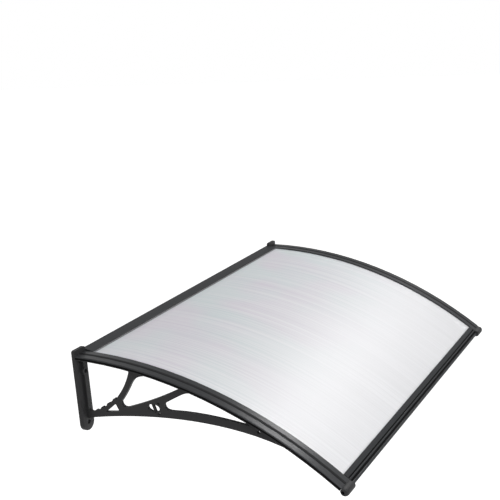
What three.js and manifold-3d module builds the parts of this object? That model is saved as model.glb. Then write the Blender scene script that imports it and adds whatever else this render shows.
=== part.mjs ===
import * as THREE from 'three';
import { mergeVertices } from 'three/addons/utils/BufferGeometryUtils.js';
import Module from 'manifold-3d';

// Door canopy: a curved twin-wall roof sheet held between extruded trims and two moulded scroll brackets.
// Millimetres, +Z up. The wall is the plane Y = 0, the roof reaches out along -Y and X runs along the wall.

// Roof
const CANOPY_WIDTH = 1200;
const ROOF_RADIUS = 1258;
const SHEET_LENGTH = 802;
const SHEET_END_GAP = 1;
const ROOF_STEPS = 16;
const FIT_GAP = 0.3;

// Side clamp, from the trim's upper face downwards
const BRACKET_WIDTH = 48;
const TRIM_FLOOR = 0.9;
const TRIM_BEVEL = 1.2;
const GROOVE_WIDTH = 6.6;
const COVER_STRIP_THICKNESS = 0.6;
const COVER_STRIP_SINK = 0.2;
const COVER_STRIP_CLEARANCE = 0.5;
const SEAL_LIP = 0.5;
const SEAL_LIP_REACH = 13;
const SEAL_SIDE_INSET = 1.2;
const SEAL_SIDE_WALL = 3.5;
const SHEET_THICKNESS = 3.6;
const RAIL_THICKNESS = 1.8;

// Twin-wall sheet
const FLUTE_PITCH = 36;
const SKIN_THICKNESS = 0.7;
const FLUTE_RIB = 0.8;

// Bracket: wall plate, rib and head
const PLATE_THICKNESS = 13;
const PLATE_BEVEL = 2.5;
const HEAD_HEIGHT = 14;
const HEAD_THICKNESS = 10;
const HEAD_CORNER_RADIUS = 6;
const FOOT_BELOW_ARM = 37;
const RIB_DEPTH = 8;
const RIB_WIDTH = 8;
const BOSS_RADIUS = 11;
const BOSS_DEPTH = 9;
const BOSS_DROP = 48;
const WALL_HOLE_RADIUS = 3.5;
const HEAD_RECESS_RADIUS = 6;
const HEAD_RECESS_DEPTH = 6;

// Bracket: scroll web. Pairs are the distance out from the wall and the height from the trim at the wall.
const WEB_THICKNESS = 10;
const ARM_ROOT_TOP = -163;
const ARM_ROOT_BOTTOM = -183;
const ARM_ROOT_LEAD = [100, -163];
const CREST = [350, -144.5];
const CREST_LEAD = 120;
const WEB_END_MARGIN = 60;
const WEB_END_LEAD = [95, 53];
const REAR_ARM_HEAD = 169;
const REAR_ARM_BELLY = [155, -69.5];
const REAR_ARM_FOOT = [121.4, -107];
const SCALLOPS = 4;
const SCALLOP_FIRST = [111, -122];
const SCALLOP_LAST = [46, -160];
const SCALLOP_RADIUS_LARGE = 8;
const SCALLOP_RADIUS_SMALL = 5;
const SCALLOP_SAG = 2.4;
const SCALLOP_FROM = 0.2 * Math.PI;
const SCALLOP_TO = 1.15 * Math.PI;
const LEAF_TOP = [112, -129];
const LEAF_REAR = [78, -156];
const LEAF_FRONT = [123, -150];
const MIDDLE_FLOOR = [157, -131];
const MIDDLE_CORNER = [134, -141];
const MIDDLE_SIDE = [131.5, -121];
const MIDDLE_BELLY = [154, -93];
const MIDDLE_SHOULDER = [168.5, -66.7];
const MIDDLE_FILLET = [184, -44];
const MIDDLE_FILLET_END = 215;
const MIDDLE_TIP = 331;
const MIDDLE_SAG = [247, -99.5];
const FRONT_FLOOR = [290, -125.3];
const FRONT_CORNER = [265, -127];
const FRONT_SIDE = [266.5, -109.5];
const FRONT_BELLY = [272, -103.5];
const FRONT_SHOULDER = [323.8, -75.7];
const FRONT_FILLET = [346, -66];
const FRONT_FILLET_END = 362;
const FRONT_TIP = 570;
const FRONT_TIP_LEAD = [480, -128];
const FRONT_FLOOR_LEAD = [380, -117.5];
const OVAL_CENTRE = [232.5, -124.5];
const OVAL_HALF_LENGTH = 20.5;
const OVAL_HALF_HEIGHT = 12.5;
const OVAL_BAR_WIDTH = 3;
const OVAL_BAR_THICKNESS = 4;
const OVAL_BAR_LEAN = 5;
const PIERCING_OUT = 14.5;
const PIERCING_OFFSET = 15;
const PIERCING_SIZE = 5;
const PIERCING_RISE = [1, 2];
const DRAIN_HOLE = [536.5, -146];
const DRAIN_HOLE_RADIUS = 5;

// Rear bar
const REAR_BAR_REACH = 39;
const REAR_BAR_RISE = 6;
const REAR_BAR_DROP = 24;
const BAR_WALL = 2;
const REAR_BAR_BOX = 13;
const LOWER_FLANGE_REACH = 19;
const SLOT_CLEARANCE = 0.6;
const SEAL_BEAD = 2;

// Front bar, with distances forward of the sheet's end
const FRONT_BAR_LAP = 18;
const FRONT_LOWER_LAP = 14;
const GUTTER_START = 2.5;
const GUTTER_WIDTH = 5.5;
const GUTTER_FLOOR = -6;
const RIDGE_WIDTH = 2;
const RIDGE_TOP = -0.6;
const SHADOW_GROOVE = 2;
const LIP_WIDTH = 4;
const LIP_TOP = -3.5;
const FRONT_BAR_DEPTH = 14.5;
const LIP_BEVEL = 1.5;
const FOOT_BEVEL = 3;
const PORT_RADIUS = 2.2;
const PORT_OUT = 8.5;
const PORT_HEIGHT = -9.5;

// Front caps
const NOSE_RADIUS = 10.5;
const NOSE_OUT = 12;
const NOSE_HEIGHT = -7;
const CAP_RECESS_RADIUS = 4.6;
const CAP_RECESS_DEPTH = 26;

// Screws
const SCREW_SHANK_RADIUS = 1.6;
const SCREW_HEAD_RADIUS = 2.7;
const SCREW_HEAD_THICKNESS = 0.6;
const SCREW_BITE = 7;
const FRONT_SCREW_LEADS = [28, 78];
const CAP_SCREW_HEAD_RADIUS = 3.6;
const CAP_SCREW_HEAD_THICKNESS = 2.6;
const CAP_SCREW_SHANK_RADIUS = 1.8;
const CAP_SCREW_BITE = 16;
const ROUND_SIDES = 16;
const SCREW_SIDES = 8;

// The groove holds the screw heads under a snap-in cover strip.
const COVER_STRIP_FOOT = -(COVER_STRIP_SINK + COVER_STRIP_THICKNESS);
const SCREW_HEAD_TOP = COVER_STRIP_FOOT - COVER_STRIP_CLEARANCE;
const GROOVE_DEPTH = SCREW_HEAD_THICKNESS + FIT_GAP - SCREW_HEAD_TOP;
const TRIM_THICKNESS = GROOVE_DEPTH + TRIM_FLOOR;

// Levels below the trim's upper face
const LEVEL_SEAL = -(TRIM_THICKNESS + FIT_GAP);
const LEVEL_SHEET = LEVEL_SEAL - SEAL_LIP - FIT_GAP;
const LEVEL_SHEET_UNDER = LEVEL_SHEET - SHEET_THICKNESS;
const LEVEL_SEAL_UNDER = LEVEL_SHEET_UNDER - FIT_GAP - SEAL_LIP;
const LEVEL_RAIL = LEVEL_SEAL_UNDER - FIT_GAP;
const LEVEL_RAIL_UNDER = LEVEL_RAIL - RAIL_THICKNESS;

// The roof arc starts level, straight in front of the bracket's head.
const ARC_START = HEAD_THICKNESS;
const END_ANGLE = SHEET_LENGTH / ROOF_RADIUS;
const angleAtDistance = (out) => Math.asin((out - ARC_START) / (ROOF_RADIUS + LEVEL_RAIL_UNDER));
const arcOut = (angle, level) => ARC_START + (ROOF_RADIUS + level) * Math.sin(angle);
const arcHeight = (angle, level) => (ROOF_RADIUS + level) * Math.cos(angle) - ROOF_RADIUS;
const underRail = (out) => arcHeight(angleAtDistance(out), LEVEL_RAIL_UNDER);

const HALF_WIDTH = CANOPY_WIDTH / 2;
const INNER_HALF = HALF_WIDTH - BRACKET_WIDTH;
const WEB_CENTRE = HALF_WIDTH - BRACKET_WIDTH / 2;
const SHEET_EDGE = HALF_WIDTH - SEAL_SIDE_INSET - SEAL_SIDE_WALL - FIT_GAP;
const SHEET_REAR = REAR_BAR_BOX + 2 * FIT_GAP;
const SHEET_FRONT_ANGLE = END_ANGLE - SHEET_END_GAP / ROOF_RADIUS;
const FOOT_CENTRE = ARM_ROOT_BOTTOM - FOOT_BELOW_ARM + BRACKET_WIDTH / 2;

const wasm = await Module();
wasm.setup();

const canopy = new THREE.Group();

const MOULDED_BLACK = [0x2b2b2c, 0.55, 0];
const COATED_BAR = [0x4b4b4d, 0.42, 0.6];
const RUBBER = [0x151516, 0.8, 0];
const CLEAR_SHEET = [0xdfe3e6, 0.2, 0];
const STEEL = [0x3a3a3c, 0.4, 0.8];

function addMesh(parent, name, geometry, finish) {
  const [color, roughness, metalness] = finish;
  const material = new THREE.MeshStandardMaterial({ color, roughness, metalness });
  const mesh = new THREE.Mesh(geometry, material);
  mesh.name = name;
  parent.add(mesh);
  return mesh;
}

// Closed geometry to a solid that can be joined and cut, and back again
function solid(geometry) {
  const bare = geometry.clone();
  bare.deleteAttribute('normal');
  bare.deleteAttribute('uv');
  const merged = mergeVertices(bare.index ? bare.toNonIndexed() : bare, 1e-4);
  const triangles = [];
  for (let i = 0; i < merged.index.count; i += 3) {
    const [a, b, c] = [0, 1, 2].map((corner) => merged.index.getX(i + corner));
    if (a !== b && b !== c && c !== a) triangles.push(a, b, c);
  }
  return new wasm.Manifold(new wasm.Mesh({
    numProp: 3,
    vertProperties: new Float32Array(merged.attributes.position.array),
    triVerts: new Uint32Array(triangles),
  }));
}

function geometryOf(body) {
  const mesh = body.getMesh();
  const geometry = new THREE.BufferGeometry();
  geometry.setAttribute('position', new THREE.BufferAttribute(new Float32Array(mesh.vertProperties), 3));
  geometry.setIndex(new THREE.BufferAttribute(new Uint32Array(mesh.triVerts), 1));
  geometry.computeVertexNormals();
  return geometry;
}

const polygon = (points) => new THREE.Shape(points.map(([a, b]) => new THREE.Vector2(a, b)));
const band = (lowX, highX, low, high) => polygon([[lowX, low], [highX, low], [highX, high], [lowX, high]]);

function roundPath(centreA, centreB, radius) {
  const path = new THREE.Path();
  path.absarc(centreA, centreB, radius, 0, 2 * Math.PI, false);
  return path;
}

// A section across the roof, in X and in level, carried along the roof arc
function alongArc(section, fromAngle, toAngle) {
  const geometry = new THREE.ExtrudeGeometry(section, {
    depth: 1, steps: ROOF_STEPS, bevelEnabled: false, curveSegments: 4,
  });
  const place = geometry.attributes.position;
  for (let i = 0; i < place.count; i += 1) {
    const angle = fromAngle + place.getZ(i) * (toAngle - fromAngle);
    const level = place.getY(i);
    place.setXYZ(i, place.getX(i), -arcOut(angle, level), arcHeight(angle, level));
  }
  return geometry;
}

// A section seen from the side, in distance out and in height, carried along X
const SIDE_VIEW = new THREE.Matrix4().makeBasis(
  new THREE.Vector3(0, -1, 0),
  new THREE.Vector3(0, 0, 1),
  new THREE.Vector3(-1, 0, 0),
);

function alongWall(section, lowX, highX, curveSegments = 6) {
  const geometry = new THREE.ExtrudeGeometry(section, {
    depth: highX - lowX, bevelEnabled: false, curveSegments,
  });
  geometry.applyMatrix4(SIDE_VIEW);
  geometry.translate(highX, 0, 0);
  return geometry;
}

// A round bar whose axis is X, Y or Z
function roundBar(radius, length, axis) {
  const geometry = new THREE.CylinderGeometry(radius, radius, length, ROUND_SIDES);
  if (axis === 'x') geometry.rotateZ(Math.PI / 2);
  if (axis === 'z') geometry.rotateX(Math.PI / 2);
  return geometry;
}

// Frame that sits on the roof arc at an angle, with -Y forward along the arc and +Z outward
function arcFrame(angle) {
  const frame = new THREE.Group();
  frame.position.set(0, -arcOut(angle, 0), arcHeight(angle, 0));
  frame.rotation.x = angle;
  return frame;
}

function inFrame(geometry, angle) {
  const frame = arcFrame(angle);
  frame.updateMatrix();
  return geometry.applyMatrix4(frame.matrix);
}

// Trim screws go down through the trim, the sheet and the rail into the heads of the web.
const TRIM_SCREW_OUTS = [
  (REAR_ARM_HEAD + MIDDLE_FILLET_END) / 2,
  (MIDDLE_TIP + FRONT_FILLET_END) / 2,
  ...FRONT_SCREW_LEADS.map((lead) => FRONT_TIP + lead),
];

function trimScrewHoles(x) {
  const length = 2 * (SCREW_BITE + FIT_GAP - LEVEL_RAIL_UNDER);
  return TRIM_SCREW_OUTS.map((out) => {
    const hole = roundBar(SCREW_SHANK_RADIUS + FIT_GAP, length, 'z');
    hole.translate(x, 0, 0);
    return solid(inFrame(hole, angleAtDistance(out)));
  });
}

const cutAll = (body, tools) => tools.reduce((rest, tool) => rest.subtract(tool), body);

// The roof's underside arc between two distances from the wall, drawn towards the front
function followRail(path, fromOut, toOut) {
  const radius = ROOF_RADIUS + LEVEL_RAIL_UNDER;
  const start = Math.PI / 2 - angleAtDistance(fromOut);
  const end = Math.PI / 2 - angleAtDistance(toOut);
  path.absarc(ARC_START, -ROOF_RADIUS, radius, start, end, true);
}

// Web outline: an arched lower arm that runs out into the rail
function webOutline() {
  const endOut = arcOut(END_ANGLE, LEVEL_RAIL_UNDER) - WEB_END_MARGIN;
  const endHeight = underRail(endOut);
  const [crestOut, crestHeight] = CREST;
  const insideRail = RAIL_THICKNESS / 2;
  const shape = new THREE.Shape();
  shape.moveTo(PLATE_THICKNESS / 2, ARM_ROOT_BOTTOM);
  shape.lineTo(PLATE_THICKNESS, ARM_ROOT_BOTTOM);
  shape.bezierCurveTo(...ARM_ROOT_LEAD, crestOut - CREST_LEAD, crestHeight, crestOut, crestHeight);
  shape.bezierCurveTo(
    crestOut + CREST_LEAD, crestHeight,
    endOut - WEB_END_LEAD[0], endHeight + WEB_END_LEAD[1],
    endOut, endHeight,
  );
  shape.lineTo(endOut, endHeight + insideRail);
  const radius = ROOF_RADIUS + LEVEL_RAIL_UNDER + insideRail;
  shape.absarc(ARC_START, -ROOF_RADIUS, radius, Math.PI / 2 - angleAtDistance(endOut), Math.PI / 2, false);
  shape.lineTo(PLATE_THICKNESS / 2, LEVEL_RAIL_UNDER + insideRail);
  return shape;
}

// Rear opening: wall rib, rail, the curved rear arm and a scalloped leaf edge
function rearOpening() {
  const ribFace = PLATE_THICKNESS + RIB_DEPTH;
  const path = new THREE.Shape();
  path.moveTo(ribFace, underRail(ribFace));
  followRail(path, ribFace, REAR_ARM_HEAD);
  path.quadraticCurveTo(...REAR_ARM_BELLY, ...REAR_ARM_FOOT);
  for (let i = 0; i < SCALLOPS; i += 1) {
    const share = i / (SCALLOPS - 1);
    const out = THREE.MathUtils.lerp(SCALLOP_FIRST[0], SCALLOP_LAST[0], share);
    const sag = SCALLOP_SAG * Math.sin(Math.PI * share);
    const height = THREE.MathUtils.lerp(SCALLOP_FIRST[1], SCALLOP_LAST[1], share) - sag;
    const radius = THREE.MathUtils.lerp(SCALLOP_RADIUS_LARGE, SCALLOP_RADIUS_SMALL, share);
    path.absarc(out, height, radius, SCALLOP_FROM, SCALLOP_TO, false);
  }
  path.quadraticCurveTo(ribFace + RIB_DEPTH, ARM_ROOT_TOP, ribFace, ARM_ROOT_TOP + RIB_DEPTH / 2);
  return path;
}

// Small triangle under the leaf
const leafOpening = () => polygon([LEAF_TOP, LEAF_REAR, LEAF_FRONT]);

// Middle opening: a rounded foot, a wide fillet at the rear arm's head and a pointed front end
function middleOpening() {
  const path = new THREE.Shape();
  path.moveTo(...MIDDLE_FLOOR);
  path.quadraticCurveTo(...MIDDLE_CORNER, ...MIDDLE_SIDE);
  path.quadraticCurveTo(...MIDDLE_BELLY, ...MIDDLE_SHOULDER);
  path.quadraticCurveTo(...MIDDLE_FILLET, MIDDLE_FILLET_END, underRail(MIDDLE_FILLET_END));
  followRail(path, MIDDLE_FILLET_END, MIDDLE_TIP);
  path.quadraticCurveTo(...MIDDLE_SAG, ...MIDDLE_FLOOR);
  return path;
}

// Front opening: a rounded rear end, a fillet at the front arm's head and a long point where the arms meet
function frontOpening() {
  const path = new THREE.Shape();
  path.moveTo(...FRONT_FLOOR);
  path.quadraticCurveTo(...FRONT_CORNER, ...FRONT_SIDE);
  path.quadraticCurveTo(...FRONT_BELLY, ...FRONT_SHOULDER);
  path.quadraticCurveTo(...FRONT_FILLET, FRONT_FILLET_END, underRail(FRONT_FILLET_END));
  followRail(path, FRONT_FILLET_END, FRONT_TIP);
  path.bezierCurveTo(...FRONT_TIP_LEAD, ...FRONT_FLOOR_LEAD, ...FRONT_FLOOR);
  return path;
}

// Pierced oval, crossed by a thin leaning bar
function ovalOpening() {
  const path = new THREE.Shape();
  path.absellipse(...OVAL_CENTRE, OVAL_HALF_LENGTH, OVAL_HALF_HEIGHT, 0, 2 * Math.PI, false);
  return path;
}

function ovalBar() {
  const [out, height] = OVAL_CENTRE;
  const half = OVAL_BAR_WIDTH / 2;
  const reach = OVAL_HALF_HEIGHT + OVAL_BAR_WIDTH / 2;
  return polygon([
    [out + OVAL_BAR_LEAN - half, height - reach],
    [out + OVAL_BAR_LEAN + half, height - reach],
    [out - OVAL_BAR_LEAN + half, height + reach],
    [out - OVAL_BAR_LEAN - half, height + reach],
  ]);
}

// Small three-cornered piercing above or below the oval's front end
function smallPiercing(side) {
  const out = OVAL_CENTRE[0] + PIERCING_OUT;
  const height = OVAL_CENTRE[1] + side * PIERCING_OFFSET;
  const corners = [
    [-PIERCING_SIZE, PIERCING_RISE[0]],
    [PIERCING_SIZE, PIERCING_RISE[1]],
    [PIERCING_SIZE, -PIERCING_SIZE],
  ];
  return polygon(corners.map(([across, up]) => [out + across, height + side * up]));
}

function drainHole() {
  const path = new THREE.Shape();
  path.absarc(...DRAIN_HOLE, DRAIN_HOLE_RADIUS, 0, 2 * Math.PI, false);
  return path;
}

// Wall plate seen from the front, with a round foot and a head with round shoulders
function plateSection() {
  const half = BRACKET_WIDTH / 2;
  const shape = new THREE.Shape();
  shape.moveTo(half, FOOT_CENTRE);
  shape.lineTo(half, LEVEL_RAIL_UNDER + RAIL_THICKNESS / 2);
  shape.lineTo(-half, LEVEL_RAIL_UNDER + RAIL_THICKNESS / 2);
  shape.lineTo(-half, FOOT_CENTRE);
  shape.absarc(0, FOOT_CENTRE, half, Math.PI, 2 * Math.PI, false);
  return shape;
}

function headSection() {
  const half = BRACKET_WIDTH / 2;
  const round = HEAD_CORNER_RADIUS;
  const shape = new THREE.Shape();
  shape.moveTo(-half, LEVEL_RAIL_UNDER - HEAD_THICKNESS);
  shape.lineTo(half, LEVEL_RAIL_UNDER - HEAD_THICKNESS);
  shape.lineTo(half, HEAD_HEIGHT - round);
  shape.absarc(half - round, HEAD_HEIGHT - round, round, 0, Math.PI / 2, false);
  shape.absarc(-half + round, HEAD_HEIGHT - round, round, Math.PI / 2, Math.PI, false);
  return shape;
}

// A section seen from the front, in X and Z, carried from the wall outwards
function fromWall(section, depth, bevel) {
  const geometry = new THREE.ExtrudeGeometry(section, {
    depth: depth - bevel,
    bevelEnabled: bevel > 0,
    bevelThickness: bevel,
    bevelSize: bevel,
    bevelOffset: -bevel,
    bevelSegments: 2,
    curveSegments: 12,
  });
  geometry.rotateX(Math.PI / 2);
  return geometry;
}

// Bracket built about X = 0 and moved to its side
function bracketSolid(side) {
  const half = BRACKET_WIDTH / 2;
  const webHalf = WEB_THICKNESS / 2;
  const prism = (shape) => solid(alongWall(shape, -half, half, 8));
  const web = cutAll(solid(alongWall(webOutline(), -webHalf, webHalf, 10)), [
    prism(rearOpening()),
    prism(leafOpening()),
    prism(middleOpening()),
    prism(frontOpening()),
    prism(ovalOpening()),
    prism(smallPiercing(-1)),
    prism(smallPiercing(1)),
    prism(drainHole()),
  ]);
  const bar = solid(alongWall(ovalBar(), -OVAL_BAR_THICKNESS / 2, OVAL_BAR_THICKNESS / 2));

  const railStart = -HEAD_THICKNESS / 2 / ROOF_RADIUS;
  const rail = solid(alongArc(band(-half, half, LEVEL_RAIL_UNDER, LEVEL_RAIL), railStart, END_ANGLE));

  const behindWall = new THREE.BoxGeometry(2 * BRACKET_WIDTH, BRACKET_WIDTH, 4 * Math.abs(FOOT_CENTRE));
  behindWall.translate(0, BRACKET_WIDTH / 2, 0);
  const plate = solid(fromWall(plateSection(), PLATE_THICKNESS, PLATE_BEVEL)).subtract(solid(behindWall));
  const head = solid(fromWall(headSection(), HEAD_THICKNESS, 0));

  const ribOut = PLATE_THICKNESS + RIB_DEPTH;
  const ribHeight = LEVEL_RAIL_UNDER - ARM_ROOT_BOTTOM;
  const rib = new THREE.BoxGeometry(RIB_WIDTH, ribOut - PLATE_THICKNESS / 2, ribHeight);
  rib.translate(0, -(ribOut + PLATE_THICKNESS / 2) / 2, (LEVEL_RAIL_UNDER + ARM_ROOT_BOTTOM) / 2);

  const bossOut = PLATE_THICKNESS + BOSS_DEPTH;
  const boss = roundBar(BOSS_RADIUS, bossOut - PLATE_THICKNESS / 2, 'y');
  boss.translate(0, -(bossOut + PLATE_THICKNESS / 2) / 2, -BOSS_DROP);

  let body = web.add(bar).add(rail).add(plate).add(head).add(solid(rib)).add(solid(boss));
  const holes = [[-BOSS_DROP, bossOut], [FOOT_CENTRE, PLATE_THICKNESS]];
  for (const [height, face] of holes) {
    const bore = roundBar(WALL_HOLE_RADIUS, 3 * face, 'y').translate(0, 0, height);
    const recess = roundBar(HEAD_RECESS_RADIUS, 2 * HEAD_RECESS_DEPTH, 'y').translate(0, -face, height);
    body = body.subtract(solid(bore)).subtract(solid(recess));
  }
  return cutAll(body, trimScrewHoles(0)).translate([side * WEB_CENTRE, 0, 0]);
}

const SIDES = [['left', -1], ['right', 1]];

for (const [name, side] of SIDES) {
  addMesh(canopy, `${name}_bracket`, geometryOf(bracketSolid(side)), MOULDED_BLACK);
}

// Twin-wall sheet, its flutes running from the wall to the front and open at both ends
const SHEET_START_ANGLE = Math.asin((SHEET_REAR - ARC_START) / (ROOF_RADIUS + LEVEL_SHEET_UNDER));
const FLUTE_OVERRUN = SHEET_END_GAP / 2 / ROOF_RADIUS;

function sheetSolid() {
  const flutes = Math.floor((2 * SHEET_EDGE - FLUTE_RIB) / FLUTE_PITCH);
  const first = (-(flutes - 1) / 2) * FLUTE_PITCH;
  const half = (FLUTE_PITCH - FLUTE_RIB) / 2;
  const low = LEVEL_SHEET_UNDER + SKIN_THICKNESS;
  const high = LEVEL_SHEET - SKIN_THICKNESS;
  const cells = Array.from({ length: flutes }, (_, i) => {
    const x = first + i * FLUTE_PITCH;
    const cell = band(x - half, x + half, low, high);
    return solid(alongArc(cell, SHEET_START_ANGLE - FLUTE_OVERRUN, SHEET_FRONT_ANGLE + FLUTE_OVERRUN));
  });
  const outer = band(-SHEET_EDGE, SHEET_EDGE, LEVEL_SHEET_UNDER, LEVEL_SHEET);
  return cutAll(solid(alongArc(outer, SHEET_START_ANGLE, SHEET_FRONT_ANGLE)), cells);
}

const sheetHoles = SIDES.flatMap(([, side]) => trimScrewHoles(side * WEB_CENTRE));
addMesh(canopy, 'roof_sheet', geometryOf(cutAll(sheetSolid(), sheetHoles)), CLEAR_SHEET);

// Side trim: a flat extruded strip with bevelled edges and a groove that hides the screws
function trimSection(centre) {
  const half = BRACKET_WIDTH / 2;
  const groove = GROOVE_WIDTH / 2;
  return polygon([
    [centre - half, -TRIM_THICKNESS],
    [centre + half, -TRIM_THICKNESS],
    [centre + half, -TRIM_BEVEL],
    [centre + half - TRIM_BEVEL, 0],
    [centre + groove, 0],
    [centre + groove, -GROOVE_DEPTH],
    [centre - groove, -GROOVE_DEPTH],
    [centre - groove, 0],
    [centre - half + TRIM_BEVEL, 0],
    [centre - half, -TRIM_BEVEL],
  ]);
}

const TRIM_START_ANGLE = FIT_GAP / ROOF_RADIUS;
for (const [name, side] of SIDES) {
  const centre = side * WEB_CENTRE;
  const trim = solid(alongArc(trimSection(centre), TRIM_START_ANGLE, END_ANGLE));
  addMesh(canopy, `${name}_top_trim`, geometryOf(cutAll(trim, trimScrewHoles(centre))), COATED_BAR);

  const stripHalf = GROOVE_WIDTH / 2 - FIT_GAP;
  const strip = band(centre - stripHalf, centre + stripHalf, COVER_STRIP_FOOT, -COVER_STRIP_SINK);
  addMesh(canopy, `${name}_cover_strip`, alongArc(strip, TRIM_START_ANGLE, END_ANGLE), RUBBER);
}

// Side seal: a rubber channel pushed over the sheet's side edge
for (const [name, side] of SIDES) {
  const outer = side * (HALF_WIDTH - SEAL_SIDE_INSET);
  const wall = side * (HALF_WIDTH - SEAL_SIDE_INSET - SEAL_SIDE_WALL);
  const reach = side * (HALF_WIDTH - SEAL_SIDE_INSET - SEAL_LIP_REACH);
  const corners = [
    [outer, LEVEL_SEAL_UNDER],
    [outer, LEVEL_SEAL],
    [reach, LEVEL_SEAL],
    [reach, LEVEL_SEAL - SEAL_LIP],
    [wall, LEVEL_SEAL - SEAL_LIP],
    [wall, LEVEL_SEAL_UNDER + SEAL_LIP],
    [reach, LEVEL_SEAL_UNDER + SEAL_LIP],
    [reach, LEVEL_SEAL_UNDER],
  ];
  addMesh(canopy, `${name}_side_seal`, alongArc(polygon(corners), TRIM_START_ANGLE, END_ANGLE), RUBBER);
}

// Trim screws, with low round heads on the floor of the groove
for (const [name, side] of SIDES) {
  TRIM_SCREW_OUTS.forEach((out, i) => {
    const headFoot = SCREW_HEAD_TOP - SCREW_HEAD_THICKNESS;
    const tip = LEVEL_RAIL_UNDER - SCREW_BITE;
    const profile = [
      [0, tip],
      [SCREW_SHANK_RADIUS / 2, tip],
      [SCREW_SHANK_RADIUS, tip + 2 * SCREW_SHANK_RADIUS],
      [SCREW_SHANK_RADIUS, headFoot],
      [SCREW_HEAD_RADIUS, headFoot],
      [SCREW_HEAD_RADIUS, headFoot + SCREW_HEAD_THICKNESS / 2],
      [SCREW_HEAD_RADIUS / 2, SCREW_HEAD_TOP],
      [0, SCREW_HEAD_TOP],
    ];
    const screw = new THREE.LatheGeometry(profile.map(([a, b]) => new THREE.Vector2(a, b)), SCREW_SIDES);
    screw.rotateX(Math.PI / 2);
    const frame = arcFrame(angleAtDistance(out));
    canopy.add(frame);
    const mesh = addMesh(frame, `${name}_trim_screw_${i + 1}`, geometryOf(solid(screw)), STEEL);
    mesh.position.x = side * WEB_CENTRE;
  });
}

// Rear bar: a hollow wall section with a sloping cover and a slot for the sheet
const BAR_END = INNER_HALF - FIT_GAP;
const REAR_COVER_UNDER = -BAR_WALL;
const REAR_FLANGE_TOP = LEVEL_SHEET_UNDER - SLOT_CLEARANCE;
const rearSection = polygon([
  [0, -REAR_BAR_DROP],
  [REAR_BAR_BOX, -REAR_BAR_DROP],
  [REAR_BAR_BOX, REAR_FLANGE_TOP - BAR_WALL],
  [REAR_BAR_BOX + LOWER_FLANGE_REACH, REAR_FLANGE_TOP - BAR_WALL],
  [REAR_BAR_BOX + LOWER_FLANGE_REACH, REAR_FLANGE_TOP],
  [REAR_BAR_BOX, REAR_FLANGE_TOP],
  [REAR_BAR_BOX, REAR_COVER_UNDER],
  [REAR_BAR_REACH, REAR_COVER_UNDER],
  [REAR_BAR_REACH, 0],
  [BAR_WALL, REAR_BAR_RISE],
  [0, REAR_BAR_RISE],
]);
rearSection.holes.push(new THREE.Path([
  new THREE.Vector2(BAR_WALL, BAR_WALL - REAR_BAR_DROP),
  new THREE.Vector2(BAR_WALL, REAR_BAR_RISE - 2 * BAR_WALL),
  new THREE.Vector2(REAR_BAR_BOX - BAR_WALL, REAR_BAR_RISE - 2.5 * BAR_WALL),
  new THREE.Vector2(REAR_BAR_BOX - BAR_WALL, BAR_WALL - REAR_BAR_DROP),
]));
addMesh(canopy, 'rear_bar', alongWall(rearSection, -BAR_END, BAR_END), COATED_BAR);

// Rear seal: a lip between the cover and the sheet, with a bead along the cover's edge
const rearSealTop = REAR_COVER_UNDER - FIT_GAP;
const rearSealFoot = LEVEL_SHEET + FIT_GAP;
const rearBeadOut = REAR_BAR_REACH + FIT_GAP + SEAL_BEAD;
const rearSealSection = polygon([
  [REAR_BAR_REACH - LOWER_FLANGE_REACH, rearSealFoot],
  [rearBeadOut, rearSealFoot],
  [rearBeadOut, -SEAL_BEAD / 2],
  [rearBeadOut - SEAL_BEAD / 2, 0],
  [REAR_BAR_REACH + FIT_GAP, 0],
  [REAR_BAR_REACH + FIT_GAP, rearSealTop],
  [REAR_BAR_REACH - LOWER_FLANGE_REACH, rearSealTop],
]);
addMesh(canopy, 'rear_seal', alongWall(rearSealSection, -BAR_END, BAR_END), RUBBER);

// Front edge, in the frame of the arc's end
const frontEdge = arcFrame(END_ANGLE);
canopy.add(frontEdge);

const ridgeStart = GUTTER_START - RIDGE_WIDTH;
const grooveStart = ridgeStart - SHADOW_GROOVE;
const lipStart = GUTTER_START + GUTTER_WIDTH;
const lipEnd = lipStart + LIP_WIDTH;
const slotEnd = -FIT_GAP * 2;
const frontFlangeTop = LEVEL_SHEET_UNDER - SLOT_CLEARANCE;
const frontSection = polygon([
  [-FRONT_BAR_LAP, -BAR_WALL],
  [-FRONT_BAR_LAP, 0],
  [grooveStart, 0],
  [grooveStart, -BAR_WALL],
  [ridgeStart, -BAR_WALL],
  [ridgeStart, RIDGE_TOP],
  [GUTTER_START, RIDGE_TOP],
  [GUTTER_START, GUTTER_FLOOR],
  [lipStart, GUTTER_FLOOR],
  [lipStart, LIP_TOP],
  [lipEnd - LIP_BEVEL, LIP_TOP],
  [lipEnd, LIP_TOP - LIP_BEVEL],
  [lipEnd, -FRONT_BAR_DEPTH + FOOT_BEVEL],
  [lipEnd - FOOT_BEVEL, -FRONT_BAR_DEPTH],
  [GUTTER_START, -FRONT_BAR_DEPTH],
  [0, frontFlangeTop - BAR_WALL],
  [-FRONT_LOWER_LAP, frontFlangeTop - BAR_WALL],
  [-FRONT_LOWER_LAP, frontFlangeTop],
  [slotEnd, frontFlangeTop],
  [slotEnd, -2 * BAR_WALL],
  [grooveStart - BAR_WALL, -BAR_WALL],
]);
frontSection.holes.push(roundPath(PORT_OUT, PORT_HEIGHT, PORT_RADIUS));
addMesh(frontEdge, 'front_bar', alongWall(frontSection, -BAR_END, BAR_END), COATED_BAR);

// Front seal: a flat rubber strip between the front bar and the sheet
const frontSealSection = polygon([
  [-FRONT_BAR_LAP, LEVEL_SHEET + FIT_GAP],
  [-FRONT_LOWER_LAP / 2, LEVEL_SHEET + FIT_GAP],
  [-FRONT_LOWER_LAP / 2, -BAR_WALL - FIT_GAP],
  [-FRONT_BAR_LAP, -BAR_WALL - FIT_GAP],
]);
addMesh(frontEdge, 'front_seal', alongWall(frontSealSection, -BAR_END, BAR_END), RUBBER);

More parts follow.
